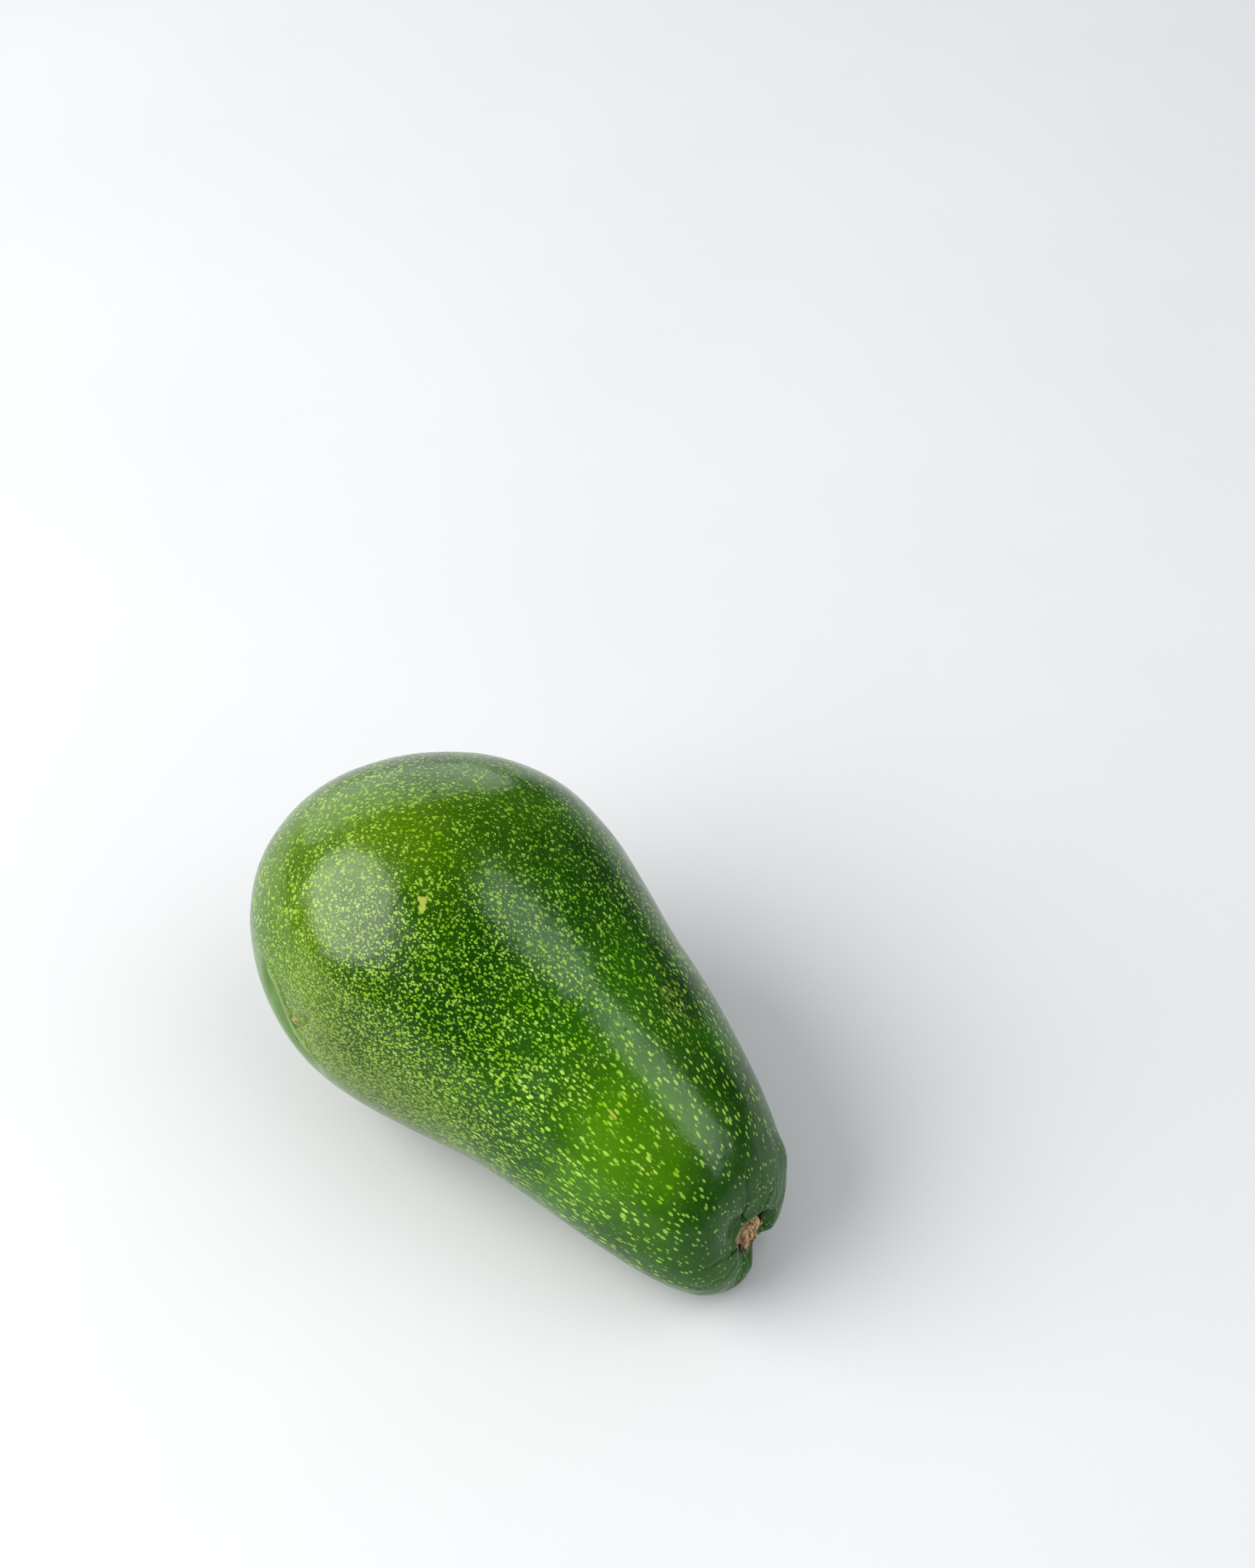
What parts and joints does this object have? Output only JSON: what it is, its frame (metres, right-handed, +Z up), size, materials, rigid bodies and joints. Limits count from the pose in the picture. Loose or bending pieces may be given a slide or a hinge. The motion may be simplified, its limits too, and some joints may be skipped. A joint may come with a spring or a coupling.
{
  "type": "avocado",
  "caption": "Whole pear-shaped avocado lying on its side, with speckled green skin, a puckered stem pit holding a dry stem stub, and a shallow blossom scar.",
  "frame": {"origin": "on the surface the fruit lies on, under the middle of its box", "axes": "+X towards the neck and the stem, along the longest side; +Y to the bowed-out side, away from the blossom scar; +Z up"},
  "size_m": [0.1278, 0.0776, 0.0756],
  "materials": {
    "skin": "waxy green peel with pale yellow-green specks, satin gloss",
    "dry_stem": "dry, torn, fibrous, matt"
  },
  "bodies": {
    "root": {"fruit": "skin", "stem_stub": "dry_stem"}
  },
  "joints": []
}
